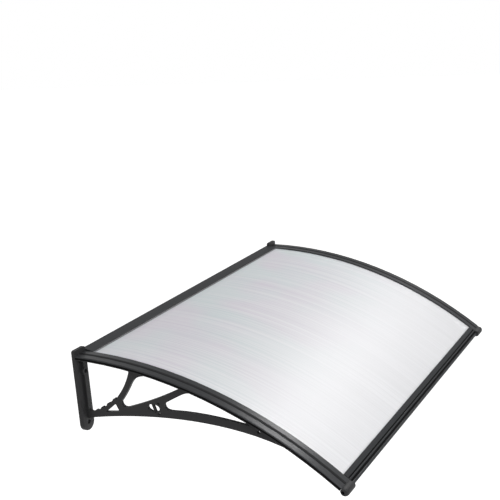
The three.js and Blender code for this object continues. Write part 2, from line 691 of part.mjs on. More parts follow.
// Front caps: round-nosed mouldings that close the rail and hold the front bar's end with a screw
function capSection() {
  const back = FIT_GAP;
  const shape = new THREE.Shape();
  shape.moveTo(back, LEVEL_RAIL_UNDER);
  shape.lineTo(back, 0);
  shape.quadraticCurveTo(NOSE_OUT / 2, 0, NOSE_OUT, NOSE_HEIGHT + NOSE_RADIUS);
  shape.absarc(NOSE_OUT, NOSE_HEIGHT, NOSE_RADIUS, Math.PI / 2, -Math.PI / 2, true);
  shape.quadraticCurveTo(NOSE_OUT / 2, NOSE_HEIGHT - NOSE_RADIUS, back, LEVEL_RAIL_UNDER);
  return shape;
}

for (const [name, side] of SIDES) {
  const low = side < 0 ? -HALF_WIDTH : INNER_HALF;
  const body = solid(alongWall(capSection(), low, low + BRACKET_WIDTH, 12));
  const recess = roundBar(CAP_RECESS_RADIUS, 2 * CAP_RECESS_DEPTH, 'x');
  recess.translate(side * HALF_WIDTH, -PORT_OUT, PORT_HEIGHT);
  const bore = roundBar(CAP_SCREW_SHANK_RADIUS + FIT_GAP, 4 * BRACKET_WIDTH, 'x');
  bore.translate(side * HALF_WIDTH, -PORT_OUT, PORT_HEIGHT);
  const cap = body.subtract(solid(recess)).subtract(solid(bore));
  addMesh(frontEdge, `front_${name}_cap`, geometryOf(cap), MOULDED_BLACK);

  const headFace = HALF_WIDTH - CAP_RECESS_DEPTH + FIT_GAP;
  const tip = BAR_END - CAP_SCREW_BITE;
  const profile = [
    [0, tip],
    [CAP_SCREW_SHANK_RADIUS, tip],
    [CAP_SCREW_SHANK_RADIUS, headFace],
    [CAP_SCREW_HEAD_RADIUS, headFace],
    [CAP_SCREW_HEAD_RADIUS, headFace + CAP_SCREW_HEAD_THICKNESS],
    [0, headFace + CAP_SCREW_HEAD_THICKNESS],
  ];
  const screw = new THREE.LatheGeometry(profile.map(([a, b]) => new THREE.Vector2(a, b)), SCREW_SIDES);
  screw.rotateZ(-Math.PI / 2);
  if (side < 0) screw.rotateZ(Math.PI);
  screw.translate(0, -PORT_OUT, PORT_HEIGHT);
  addMesh(frontEdge, `${name}_cap_screw`, geometryOf(solid(screw)), STEEL);
}

export default canopy;
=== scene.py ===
import math

import bmesh
import bpy
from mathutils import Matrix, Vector


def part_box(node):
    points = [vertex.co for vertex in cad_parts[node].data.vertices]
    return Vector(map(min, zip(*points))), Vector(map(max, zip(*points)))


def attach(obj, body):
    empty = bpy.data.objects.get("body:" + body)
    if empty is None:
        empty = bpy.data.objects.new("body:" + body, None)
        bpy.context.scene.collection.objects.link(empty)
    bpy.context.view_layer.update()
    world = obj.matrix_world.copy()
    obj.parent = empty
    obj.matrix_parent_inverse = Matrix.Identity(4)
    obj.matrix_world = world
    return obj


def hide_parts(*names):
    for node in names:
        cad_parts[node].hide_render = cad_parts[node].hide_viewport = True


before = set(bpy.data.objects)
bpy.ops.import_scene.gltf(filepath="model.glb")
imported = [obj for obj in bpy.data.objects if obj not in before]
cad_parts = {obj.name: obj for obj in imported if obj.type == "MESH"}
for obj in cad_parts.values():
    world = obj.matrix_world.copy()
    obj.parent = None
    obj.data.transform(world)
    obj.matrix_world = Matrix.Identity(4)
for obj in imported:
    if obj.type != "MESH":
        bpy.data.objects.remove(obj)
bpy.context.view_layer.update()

# Brackets: one black moulding a side, with a flat wall plate, a pierced scroll web and a thin curved rail.
# Injection moulded in glass-filled polypropylene. Wall screws hold it through the boss and the round foot.


def linear(hex_colour):
    """An sRGB hex colour as linear red, green, blue and alpha."""
    channels = [int(hex_colour[i:i + 2], 16) / 255 for i in (1, 3, 5)]
    return [c / 12.92 if c <= 0.04045 else ((c + 0.055) / 1.055) ** 2.4 for c in channels] + [1.0]


def add_node(tree, kind, inputs=None, **settings):
    """Adds a node. Settings are its properties, and inputs are values or the sockets they come from."""
    new = tree.nodes.new(kind)
    for name, value in settings.items():
        setattr(new, name, value)
    for name, value in (inputs or {}).items():
        if isinstance(value, bpy.types.NodeSocket):
            tree.links.new(value, new.inputs[name])
        else:
            new.inputs[name].default_value = value
    return new


# The solids come in as loose triangles: weld them, smooth the curves and keep the edges sharp.
WELD_M = 0.00001
SHARP_CORNER = math.radians(32)
softening = bpy.data.node_groups.new("weld_and_smooth", "GeometryNodeTree")
softening.interface.new_socket("Geometry", in_out="INPUT", socket_type="NodeSocketGeometry")
softening.interface.new_socket("Geometry", in_out="OUTPUT", socket_type="NodeSocketGeometry")
taken = add_node(softening, "NodeGroupInput")
welded = add_node(softening, "GeometryNodeMergeByDistance",
                  {"Geometry": taken.outputs[0], "Distance": WELD_M})
smooth = add_node(softening, "GeometryNodeSetShadeSmooth", {"Geometry": welded.outputs[0]}, domain="FACE")
fold = add_node(softening, "GeometryNodeInputMeshEdgeAngle")
sharp = add_node(softening, "FunctionNodeCompare", {0: fold.outputs[0], 1: SHARP_CORNER},
                 data_type="FLOAT", operation="GREATER_THAN")
edged = add_node(softening, "GeometryNodeSetShadeSmooth",
                 {"Geometry": smooth.outputs[0], "Selection": sharp.outputs[0], "Shade Smooth": False},
                 domain="EDGE")
add_node(softening, "NodeGroupOutput", {0: edged.outputs[0]})


def dress(name, material):
    """Gives a solid its finish and smooth curves."""
    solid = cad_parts[name]
    solid.modifiers.new("weld_and_smooth", "NODES").node_group = softening
    solid.data.materials.clear()
    solid.data.materials.append(material)


# Black polypropylene, moulded in a fine spark-eroded grain: a dull black with a soft, uneven sheen.
# The real grain is about 0.3 mm and too fine to show, so it is drawn at 1.6 mm. The melt's flow marks
# are hand-wide. A colour mix takes its share in socket 0 and its two colours in sockets 6 and 7.
GRAIN_M = 0.0016
FLOW_M = 0.09
polypropylene = bpy.data.materials.new("moulded_black_polypropylene")
polypropylene.use_nodes = True
tree = polypropylene.node_tree
shader = tree.nodes["Principled BSDF"]
place = add_node(tree, "ShaderNodeTexCoord")
grain = add_node(tree, "ShaderNodeTexNoise",
                 {"Vector": place.outputs["Object"], "Scale": 1 / GRAIN_M, "Detail": 2.0})
flow = add_node(tree, "ShaderNodeTexNoise",
                {"Vector": place.outputs["Object"], "Scale": 1 / FLOW_M, "Detail": 3.0})
tone = add_node(tree, "ShaderNodeMix",
                {0: flow.outputs["Fac"], 6: linear("#1c1c1d"), 7: linear("#2b2b2c")}, data_type="RGBA")
sheen = add_node(tree, "ShaderNodeMapRange",
                 {"Value": flow.outputs["Fac"], "To Min": 0.42, "To Max": 0.62})
relief = add_node(tree, "ShaderNodeBump",
                  {"Height": grain.outputs["Fac"], "Strength": 0.25, "Distance": 0.0003})
tree.links.new(tone.outputs[2], shader.inputs["Base Color"])
tree.links.new(sheen.outputs[0], shader.inputs["Roughness"])
tree.links.new(relief.outputs[0], shader.inputs["Normal"])
shader.inputs["IOR"].default_value = 1.49
shader.inputs["Specular IOR Level"].default_value = 0.2

dress("left_bracket", polypropylene)
dress("right_bracket", polypropylene)

# Each web also has a low rim under the rail with round fillets, a rolled edge on the leaf and a lined oval.
# They belong to the same moulding and lie in the middle of the bracket's width.
# Their outlines are distance out from the wall and height, in metres.
ROOF_RADIUS = 1.258
ARC_START = 0.010
RAIL_UNDER = -0.0107
RIM_DEPTH = 0.008
RIM_START = 0.016
RIM_STOP = 0.560
INTO_RAIL = 0.0005
INTO_ARM = 0.004
WEB_HALF = 0.0049
OVAL_CENTRE = (0.2325, -0.1245)
OVAL_OUTER = (0.0215, 0.0135)
OVAL_INNER = (0.0186, 0.0108)
LINING_TURN = math.radians(184)
OVAL_BAR = [(0.2356, -0.1370), (0.2390, -0.1370), (0.2297, -0.1120), (0.2263, -0.1120)]
LEAF_EDGE = [(0.1150, -0.1166), (0.1035, -0.1203), (0.0930, -0.1283), (0.0800, -0.1388), (0.0660, -0.1485),
             (0.0520, -0.1548), (0.0400, -0.1580), (0.0420, -0.1640), (0.0700, -0.1600), (0.1120, -0.1280)]


def under_rail(out, depth):
    """Height of a line that follows the rail's underside at a depth below it."""
    radius = ROOF_RADIUS + RAIL_UNDER - depth
    return math.sqrt(radius ** 2 - (out - ARC_START) ** 2) - ROOF_RADIUS


def curve(start, lead, end, steps=10):
    """Points of a smooth bend from start to end, drawn towards lead."""
    shares = [i / steps for i in range(steps + 1)]
    return [tuple((1 - t) ** 2 * a + 2 * t * (1 - t) * b + t * t * c for a, b, c in zip(start, lead, end))
            for t in shares]


def rim(start, stop, steps=24):
    """The rim's outline, which follows the rail and reaches a little way into it."""
    outs = [start + (stop - start) * i / steps for i in range(steps + 1)]
    lower = [(out, under_rail(out, RIM_DEPTH)) for out in outs]
    upper = [(out, under_rail(out, -INTO_RAIL)) for out in reversed(outs)]
    return lower + upper


def fillet(start, lead, end_out):
    """Fills the corner between an arm's edge and the rim."""
    bend = curve(start, lead, (end_out, under_rail(end_out, RIM_DEPTH)))
    in_arm = start[0] - INTO_ARM
    return bend + [(end_out, under_rail(end_out, -INTO_RAIL)),
                   (in_arm, under_rail(start[0], -INTO_RAIL)), (in_arm, start[1])]


def half_lining(first_turn, steps=20):
    """Half of the oval's lining, a little more than half a turn so that the two halves close."""
    turns = [first_turn + LINING_TURN * i / steps for i in range(steps + 1)]
    edges = [[(OVAL_CENTRE[0] + half_long * math.cos(turn), OVAL_CENTRE[1] + half_high * math.sin(turn))
              for turn in turns] for half_long, half_high in (OVAL_OUTER, OVAL_INNER)]
    return edges[0] + edges[1][::-1]


def new_piece(name, points, faces, material):
    """A piece of the canopy from its points and faces."""
    mesh = bpy.data.meshes.new(name)
    mesh.from_pydata(points, [], faces)
    mesh.validate()
    piece = bpy.data.objects.new(name, mesh)
    bpy.context.scene.collection.objects.link(piece)
    piece.data.materials.append(material)
    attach(piece, "root")
    return piece


def smooth_piece(name, points, faces, material):
    """A piece whose faces are turned outwards and whose curves are smooth."""
    piece = new_piece(name, points, faces, material)
    skin = bmesh.new()
    skin.from_mesh(piece.data)
    bmesh.ops.recalc_face_normals(skin, faces=skin.faces)
    skin.to_mesh(piece.data)
    skin.free()
    piece.modifiers.new("weld_and_smooth", "NODES").node_group = softening
    return piece


def ring_faces(first, second, count):
    """The faces between two rings of points, from the numbers of their first points."""
    return [[first + i, first + (i + 1) % count, second + (i + 1) % count, second + i] for i in range(count)]


def prisms(name, outlines, low_x, high_x, material):
    """Side-view outlines carried along X into one piece."""
    points = []
    faces = []
    for outline in outlines:
        count = len(outline)
        low = len(points)
        high = low + count
        points += [(x, -out, height) for x in (low_x, high_x) for out, height in outline]
        faces += [list(range(low, high)), list(range(high, high + count))]
        faces += ring_faces(low, high, count)
    return smooth_piece(name, points, faces, material)


arm_fillet = fillet((0.1685, -0.0667), (0.184, -0.038), 0.228)
front_fillet = fillet((0.3238, -0.0757), (0.345, -0.0642), 0.375)
oval_lining = [half_lining(0), half_lining(math.pi)]
web_outlines = [rim(RIM_START, RIM_STOP), arm_fillet, front_fillet, LEAF_EDGE, OVAL_BAR] + oval_lining
bracket_low, bracket_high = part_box("right_bracket")
web_centre = (bracket_low.x + bracket_high.x) / 2
for side, centre in (("left", -web_centre), ("right", web_centre)):
    web_rim = prisms(f"{side}_web_rim", web_outlines, centre - WEB_HALF, centre + WEB_HALF, polypropylene)

# Rear bar: the hollow wall section between the bracket heads, with a sloping cover over the sheet's edge.
# Extruded aluminium, cut to length and powder coated dark grey. It is pushed between the brackets.

# Powder coat over an extrusion: a satin dark grey with a slight orange peel and faint die lines.
# Orange peel is about 1 mm and die lines under 0.5 mm apart, so they are drawn at 3 mm and 2 mm.
PEEL_M = 0.003
DIE_LINE_M = 0.002
DIE_LINE_LENGTH_M = 0.8
CLOUD_M = 0.12


def powder_coat(name, along, shine):
    """Powder-coated extrusion whose die lines run along one axis, 0 for X or 1 for Y."""
    coat = bpy.data.materials.new(name)
    coat.use_nodes = True
    tree = coat.node_tree
    shader = tree.nodes["Principled BSDF"]
    place = add_node(tree, "ShaderNodeTexCoord")
    stretch = [1 / DIE_LINE_M] * 3
    stretch[along] = 1 / DIE_LINE_LENGTH_M
    drawn = add_node(tree, "ShaderNodeMapping", {"Vector": place.outputs["Object"], "Scale": stretch})
    lines = add_node(tree, "ShaderNodeTexNoise", {"Vector": drawn.outputs[0], "Scale": 1.0, "Detail": 2.0})
    peel = add_node(tree, "ShaderNodeTexNoise", {"Vector": place.outputs["Object"], "Scale": 1 / PEEL_M})
    cloud = add_node(tree, "ShaderNodeTexNoise", {"Vector": place.outputs["Object"], "Scale": 1 / CLOUD_M})
    tone = add_node(tree, "ShaderNodeMix",
                    {0: lines.outputs["Fac"], 6: linear("#252628"), 7: linear("#323335")}, data_type="RGBA")
    height = add_node(tree, "ShaderNodeMath", {0: peel.outputs["Fac"], 1: lines.outputs["Fac"]},
                      operation="ADD")
    relief = add_node(tree, "ShaderNodeBump",
                      {"Height": height.outputs[0], "Strength": 0.18, "Distance": 0.0002})
    sheen = add_node(tree, "ShaderNodeMapRange",
                     {"Value": cloud.outputs["Fac"], "To Min": 0.30, "To Max": 0.40})
    tree.links.new(tone.outputs[2], shader.inputs["Base Color"])
    tree.links.new(sheen.outputs[0], shader.inputs["Roughness"])
    tree.links.new(relief.outputs[0], shader.inputs["Normal"])
    shader.inputs["IOR"].default_value = 1.5
    shader.inputs["Specular IOR Level"].default_value = shine
    return coat


coated_bar = powder_coat("powder_coated_aluminium_bar", along=0, shine=0.08)

# The section is out and height in millimetres. The cover's front edge is rounded and stops at the wiper.
REAR_SECTION = [(0, -24), (13, -24), (13, -10.4), (32, -10.4), (32, -8.4), (13, -8.4), (13, -2), (34.6, -2),
                (35, -1.6), (35, -0.2), (34.5, 0.3), (2.6, 5.9), (1.6, 6), (0.5, 6), (0, 5.5)]


def in_metres(section):
    """A section in millimetres as an outline in metres."""
    return [(out / 1000, height / 1000) for out, height in section]


bar_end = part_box("rear_bar")[1].x
rear_cover = prisms("rear_wall_bar", [in_metres(REAR_SECTION)], -bar_end, bar_end, coated_bar)
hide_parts("rear_bar")

# Rear seal: a lip pressed between the bar's cover and the sheet, with a thin wiper along the cover's edge.
# Extruded in soft rubber and pushed into the slot. Where it shows, the wiper is painted mid-grey as painted
# shade along the cover's edge on the sheet.

# EPDM rubber: a deep matt black, slightly dusty in specks a few millimetres wide.
DUST_M = 0.006
epdm = bpy.data.materials.new("extruded_black_epdm")
epdm.use_nodes = True
tree = epdm.node_tree
shader = tree.nodes["Principled BSDF"]
place = add_node(tree, "ShaderNodeTexCoord")
dust = add_node(tree, "ShaderNodeTexNoise",
                {"Vector": place.outputs["Object"], "Scale": 1 / DUST_M, "Detail": 4.0})
tone = add_node(tree, "ShaderNodeMix",
                {0: dust.outputs["Fac"], 6: linear("#040404"), 7: linear("#0c0c0c")}, data_type="RGBA")
dull = add_node(tree, "ShaderNodeMapRange", {"Value": dust.outputs["Fac"], "To Min": 0.6, "To Max": 0.8})
relief = add_node(tree, "ShaderNodeBump",
                  {"Height": dust.outputs["Fac"], "Strength": 0.2, "Distance": 0.0003})
tree.links.new(tone.outputs[2], shader.inputs["Base Color"])
tree.links.new(dull.outputs[0], shader.inputs["Roughness"])
tree.links.new(relief.outputs[0], shader.inputs["Normal"])
shader.inputs["IOR"].default_value = 1.5
shader.inputs["Specular IOR Level"].default_value = 0.06

# Grey EPDM: the same rubber painted mid-grey, as painted shade where the cover meets the sheet, with small
# pale and dark specks.
grey_edge_shade_epdm = epdm.copy()
grey_edge_shade_epdm.name = "grey_epdm_painted_edge_shade"
edge_shade_tone = next(node for node in grey_edge_shade_epdm.node_tree.nodes if node.bl_idname == "ShaderNodeMix")
edge_shade_tone.inputs[6].default_value = linear("#6a6b6d")
edge_shade_tone.inputs[7].default_value = linear("#8a8b8d")

WIPER_SECTION = [(16, -3.9), (38.4, -3.9), (38.4, -3.5), (36.2, -2.6), (35.2, -2.3), (16, -2.3)]
# The wiper's grey is painted shade at the cover's edge.
wiper = prisms("rear_wiper_seal", [in_metres(WIPER_SECTION)], -bar_end, bar_end, grey_edge_shade_epdm)
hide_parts("rear_seal")

# Roof sheet: clear twin-wall polycarbonate, two thin skins joined by ribs that run from wall to front.
# Extruded flat, cut to size and bent cold over the brackets, which hold it in its arc.
# Levels are metres above the trim's face, and the two ends are angles along the arc in radians.
SHEET_TOP = -0.0042
SHEET_UNDER = -0.0078
SHEET_START = 0.00288
SHEET_STOP = 0.63672
SKIN = 0.0006
RIB = 0.0006
FLUTE_PITCH = 0.0060
ARC_STEPS = 40


def on_arc(angle, level):
    """Distance out and height of a point at an angle along the arc and a level above the trim's face."""
    radius = ROOF_RADIUS + level
    return ARC_START + radius * math.sin(angle), radius * math.cos(angle) - ROOF_RADIUS


sheet_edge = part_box("roof_sheet")[1].x
flutes = int((2 * sheet_edge - RIB) / FLUTE_PITCH)
first_rib = -flutes * FLUTE_PITCH / 2
across = [-sheet_edge]
for i in range(flutes):
    across += [first_rib + i * FLUTE_PITCH + RIB / 2, first_rib + (i + 1) * FLUTE_PITCH - RIB / 2]
across.append(sheet_edge)
columns = len(across)
levels = (SHEET_UNDER, SHEET_UNDER + SKIN, SHEET_TOP - SKIN, SHEET_TOP)
top = len(levels) - 1
points = []
for step in range(ARC_STEPS + 1):
    angle = SHEET_START + (SHEET_STOP - SHEET_START) * step / ARC_STEPS
    for level in levels:
        out, height = on_arc(angle, level)
        points += [(x, -out, height) for x in across]


def corner_of(step, level, column):
    """The number of a point of the sheet."""
    return (step * len(levels) + level) * columns + column


# Skins, the four walls of each flute, the long edges, and then the cut ends with the flutes open.
# A flute's wall runs between two of its corners, each given by its level and its side.
FLUTE_WALLS = (((1, 0), (1, 1)), ((1, 1), (2, 1)), ((2, 1), (2, 0)), ((2, 0), (1, 0)))
faces = []
for step in range(ARC_STEPS):
    for column in range(columns - 1):
        for level in (0, top):
            face = [corner_of(step, level, column), corner_of(step, level, column + 1),
                    corner_of(step + 1, level, column + 1), corner_of(step + 1, level, column)]
            faces.append(face if level == 0 else face[::-1])
        if column % 2 == 1:
            for (level_a, side_a), (level_b, side_b) in FLUTE_WALLS:
                faces.append([corner_of(step, level_b, column + side_b),
                              corner_of(step, level_a, column + side_a),
                              corner_of(step + 1, level_a, column + side_a),
                              corner_of(step + 1, level_b, column + side_b)])
    for level in range(top):
        for column in (0, columns - 1):
            face = [corner_of(step, level, column), corner_of(step + 1, level, column),
                    corner_of(step + 1, level + 1, column), corner_of(step, level + 1, column)]
            faces.append(face if column == 0 else face[::-1])
for step in (0, ARC_STEPS):
    for column in range(columns - 1):
        for level in range(top):
            if level == 1 and column % 2 == 1:
                continue
            face = [corner_of(step, level, column), corner_of(step, level + 1, column),
                    corner_of(step, level + 1, column + 1), corner_of(step, level, column + 1)]
            faces.append(face if step == 0 else face[::-1])

# Polycarbonate: a milky clear plastic that lets light through but blurs what is behind it.
# The extruder leaves streaks along the ribs, a few millimetres wide. Towards the wall the skins are painted
# darker, as painted shade, in a faint lilac and blue-green cast in large patches; shade and cast fade out to
# the front.
STREAK_M = 0.0045
STREAK_LENGTH_M = 0.6
CAST_M = 0.2
SHADE_FADE_FRONT = -0.6
SHADE_FADE_REAR = -0.2
polycarbonate = bpy.data.materials.new("clear_twin_wall_polycarbonate")
polycarbonate.use_nodes = True
tree = polycarbonate.node_tree
shader = tree.nodes["Principled BSDF"]
place = add_node(tree, "ShaderNodeTexCoord")
drawn = add_node(tree, "ShaderNodeMapping",
                 {"Vector": place.outputs["Object"],
                  "Scale": (1 / STREAK_M, 1 / STREAK_LENGTH_M, 1 / STREAK_LENGTH_M)})
streak = add_node(tree, "ShaderNodeTexNoise", {"Vector": drawn.outputs[0], "Scale": 1.0, "Detail": 2.0})
cloud = add_node(tree, "ShaderNodeTexNoise",
                 {"Vector": place.outputs["Object"], "Scale": 1 / CAST_M, "Detail": 1.0})
patch = add_node(tree, "ShaderNodeMapRange",
                 {"Value": cloud.outputs["Fac"], "From Min": 0.4, "From Max": 0.6})
cast_and_shade = add_node(tree, "ShaderNodeMix",
                {0: patch.outputs[0], 6: linear("#d8d2dd"), 7: linear("#d0dcde")}, data_type="RGBA")
along = add_node(tree, "ShaderNodeSeparateXYZ", {0: place.outputs["Object"]})
# Darker towards the wall: painted shade, mixed in with the lilac and blue-green cast.
wall_shade_share = add_node(tree, "ShaderNodeMapRange",
                {"Value": along.outputs["Y"], "From Min": SHADE_FADE_FRONT, "From Max": SHADE_FADE_REAR})
tint_and_wall_shade = add_node(tree, "ShaderNodeMix",
                {0: wall_shade_share.outputs[0], 6: linear("#e2e2e4"), 7: cast_and_shade.outputs[2]}, data_type="RGBA")
bright = add_node(tree, "ShaderNodeMapRange",
                  {"Value": streak.outputs["Fac"], "From Min": 0.3, "From Max": 0.7,
                   "To Min": 0.1, "To Max": 0.9})
tone = add_node(tree, "ShaderNodeMix",
                {0: bright.outputs[0], 6: tint_and_wall_shade.outputs[2], 7: linear("#efeff1")}, data_type="RGBA")
gloss = add_node(tree, "ShaderNodeMapRange",
                 {"Value": streak.outputs["Fac"], "To Min": 0.42, "To Max": 0.6})
relief = add_node(tree, "ShaderNodeBump",
                  {"Height": streak.outputs["Fac"], "Strength": 0.2, "Distance": 0.0005})
tree.links.new(tone.outputs[2], shader.inputs["Base Color"])
tree.links.new(gloss.outputs[0], shader.inputs["Roughness"])
tree.links.new(relief.outputs[0], shader.inputs["Normal"])
shader.inputs["IOR"].default_value = 1.58
shader.inputs["Transmission Weight"].default_value = 0.35

sheet = new_piece("twin_wall_sheet", points, faces, polycarbonate)
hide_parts("roof_sheet")

# Side seals: rubber channels pushed over the sheet's long edges before the trims clamp them.
# Extruded in the same black EPDM as the rear seal.
dress("left_side_seal", epdm)
dress("right_side_seal", epdm)

# Side trims: flat strips with bevelled edges and a groove, which follow the rails and clamp the sheet.
# Extruded aluminium, rolled to the arc and powder coated like the bars.
coated_trim = powder_coat("powder_coated_aluminium_trim", along=1, shine=0.17)
dress("left_top_trim", coated_trim)
dress("right_top_trim", coated_trim)

# Trim screws: low round heads on the floor of the groove, which pull trim, sheet and rail together.
# Blackened steel, turned and thread rolled.

# Blackened steel: a dark oxide that still shines like metal, a little blotchy.
OXIDE_M = 0.002
blackened = bpy.data.materials.new("blackened_steel")
blackened.use_nodes = True
tree = blackened.node_tree
shader = tree.nodes["Principled BSDF"]
place = add_node(tree, "ShaderNodeTexCoord")
oxide = add_node(tree, "ShaderNodeTexNoise",
                 {"Vector": place.outputs["Object"], "Scale": 1 / OXIDE_M, "Detail": 2.0})
tone = add_node(tree, "ShaderNodeMix",
                {0: oxide.outputs["Fac"], 6: linear("#262627"), 7: linear("#454547")}, data_type="RGBA")
tree.links.new(tone.outputs[2], shader.inputs["Base Color"])
shader.inputs["Metallic"].default_value = 1.0
shader.inputs["Roughness"].default_value = 0.4

SCREWS_A_SIDE = 4
for side in ("left", "right"):
    for number in range(1, SCREWS_A_SIDE + 1):
        dress(f"{side}_trim_screw_{number}", blackened)

# Cover strips: flexible strips snapped into the trims' grooves over the screw heads.
# Extruded in soft grey-black PVC, with a stem in the groove and a thin crowned flange that laps its edges.
STRIP_FLANGE = 0.0052
FLANGE_UNDER = 0.00005
STRIP_CROWN = 0.0005
STRIP_STEM = 0.0029
STRIP_FOOT = -0.0008
STRIP_START = 0.0003
STRIP_STOP = 0.6375
shoulder = (STRIP_FLANGE * 0.7, STRIP_CROWN * 0.8)
right_half = [(STRIP_STEM, STRIP_FOOT), (STRIP_STEM, FLANGE_UNDER), (STRIP_FLANGE, FLANGE_UNDER), shoulder]
left_half = [(-x, level) for x, level in reversed(right_half)]
strip_section = right_half + [(0.0, STRIP_CROWN)] + left_half

# Soft PVC: a dark grey, duller than the coated trim beside it, with a matt bloom in small specks.
BLOOM_M = 0.004
pvc = bpy.data.materials.new("soft_grey_black_pvc")
pvc.use_nodes = True
tree = pvc.node_tree
shader = tree.nodes["Principled BSDF"]
place = add_node(tree, "ShaderNodeTexCoord")
bloom = add_node(tree, "ShaderNodeTexNoise",
                 {"Vector": place.outputs["Object"], "Scale": 1 / BLOOM_M, "Detail": 3.0})
tone = add_node(tree, "ShaderNodeMix",
                {0: bloom.outputs["Fac"], 6: linear("#0e0e0f"), 7: linear("#171719")}, data_type="RGBA")
relief = add_node(tree, "ShaderNodeBump",
                  {"Height": bloom.outputs["Fac"], "Strength": 0.15, "Distance": 0.0003})
tree.links.new(tone.outputs[2], shader.inputs["Base Color"])
tree.links.new(relief.outputs[0], shader.inputs["Normal"])
shader.inputs["Roughness"].default_value = 0.65
shader.inputs["IOR"].default_value = 1.53
shader.inputs["Specular IOR Level"].default_value = 0.12

count = len(strip_section)
strip_faces = [list(range(count)), [ARC_STEPS * count + i for i in range(count)]]
for step in range(ARC_STEPS):
    strip_faces += ring_faces(step * count, (step + 1) * count, count)
for side, centre in (("left", -web_centre), ("right", web_centre)):
    points = []
    for step in range(ARC_STEPS + 1):
        angle = STRIP_START + (STRIP_STOP - STRIP_START) * step / ARC_STEPS
        for x, level in strip_section:
            out, height = on_arc(angle, level)
            points.append((centre + x, -out, height))
    strip = smooth_piece(f"{side}_groove_strip", points, strip_faces, pvc)
    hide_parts(f"{side}_cover_strip")

# Front bar: the section along the sheet's front edge, with a ridge and a narrow gutter before its lip.
# Extruded aluminium, powder coated. A flat rubber strip seals it to the sheet.
# Sections here are in millimetres past the trim's end and above the trim's face.
TRIM_LENGTH = 0.802
END_ANGLE = TRIM_LENGTH / ROOF_RADIUS
UPPER_BAND = [(-18, -2), (-18, -0.4), (-17.6, 0), (-5.1, 0), (-4.7, -0.4), (-4.7, -2.6)]
RIDGE = [(-0.9, -2.6), (-0.9, -1.2), (-0.5, -0.55), (0.1, -0.2), (1.6, -0.2), (2.6, -0.55), (3.1, -1.2)]
GUTTER = [(3.1, -6), (9, -6)]
LIP = [(9, -4.3), (9.5, -3.6), (11, -3.1), (13, -3.3), (14.7, -4.1), (15.9, -5.6), (16.3, -7.4),
       (16.3, -11.5), (15.4, -13.6), (13.3, -14.5)]
SHEET_SLOT = [(2.5, -14.5), (0, -10.4), (-14, -10.4), (-14, -8.4), (-0.6, -8.4), (-0.6, -4), (-5.5, -4),
              (-6.5, -2)]


def at_front(along, level):
    """Distance out and height of a point at the front, from millimetres past the trim's end and above it."""
    out, height = on_arc(END_ANGLE, level / 1000)
    return out + along / 1000 * math.cos(END_ANGLE), height - along / 1000 * math.sin(END_ANGLE)


front_outline = [at_front(*corner) for corner in UPPER_BAND + RIDGE + GUTTER + LIP + SHEET_SLOT]
front_edge = prisms("front_gutter_bar", [front_outline], -bar_end, bar_end, coated_bar)
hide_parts("front_bar")
dress("front_seal", epdm)

# Front shade strips: black rubber strips in the front bar, one in the groove behind the ridge, one in the
# gutter, which paint the shade in the groove and the gutter as black.
# Extruded in EPDM like the seals and pushed in from the bar's end.
GROOVE_SHADE_STRIP = [(-4.6, -2.55), (-1, -2.55), (-1, -1.9), (-2.8, -1.6), (-4.6, -1.9)]
GUTTER_SHADE_STRIP = [(3.2, -5.95), (8.9, -5.95), (8.9, -4.6), (8.2, -5.2), (4, -5.2), (3.2, -2.4)]
shade_strip_outlines = [[at_front(*corner) for corner in section] for section in (GROOVE_SHADE_STRIP, GUTTER_SHADE_STRIP)]
# Both strips are painted shade in the groove and the gutter.
shade_strips = prisms("front_shade_strips", shade_strip_outlines, -bar_end, bar_end, epdm)

# Front caps: round-nosed mouldings that close the rails and take the front bar's ends.
# Black polypropylene like the brackets, domed outside. A screw in a deep recess pulls each to the bar,
# over a thin rubber washer. Sections are in millimetres as for the bar, and lengths along X in metres.
CAP_BACK = 0.3
CAP_LOW = -10.7
CAP_MIDDLE = (7, -7)
CAP_EDGE = 2.6
NOSE = (12, -7)
NOSE_RADIUS = 10.5
NOSE_STEPS = 16
CAP_SWEEP = 6
EDGE_STEPS = 4
DOME_LENGTH = 0.010
DOME_HEART = (3, -8)
DOME_SHARE = 0.28
RECESS = (8.5, -9.5)
RECESS_RADIUS = 4.6
RECESS_DEPTH = 0.026
WASHER_SECTION = [(0.02, -8), (0.28, -8), (0.28, -2), (0.02, -2)]
WASHER_HALF = 0.020


def around(middle, radius, turn):
    """A point on a circle."""
    return middle[0] + radius * math.cos(turn), middle[1] + radius * math.sin(turn)


def towards(corner, middle, share):
    """A point moved by a share of its way to a middle."""
    return tuple(c + (m - c) * share for c, m in zip(corner, middle))


nose_turns = [math.pi / 2 - math.pi * i / NOSE_STEPS for i in range(1, NOSE_STEPS)]
nose_top = (NOSE[0], NOSE[1] + NOSE_RADIUS)
nose_foot = (NOSE[0], NOSE[1] - NOSE_RADIUS)
cap_outline = [(CAP_BACK, CAP_LOW), (CAP_BACK, CAP_LOW / 2)]
cap_outline += curve((CAP_BACK, 0), (CAP_SWEEP, 0), nose_top)
cap_outline += [around(NOSE, NOSE_RADIUS, turn) for turn in nose_turns]
cap_outline += curve(nose_foot, (CAP_SWEEP, nose_foot[1]), (CAP_BACK, CAP_LOW))[:-1]

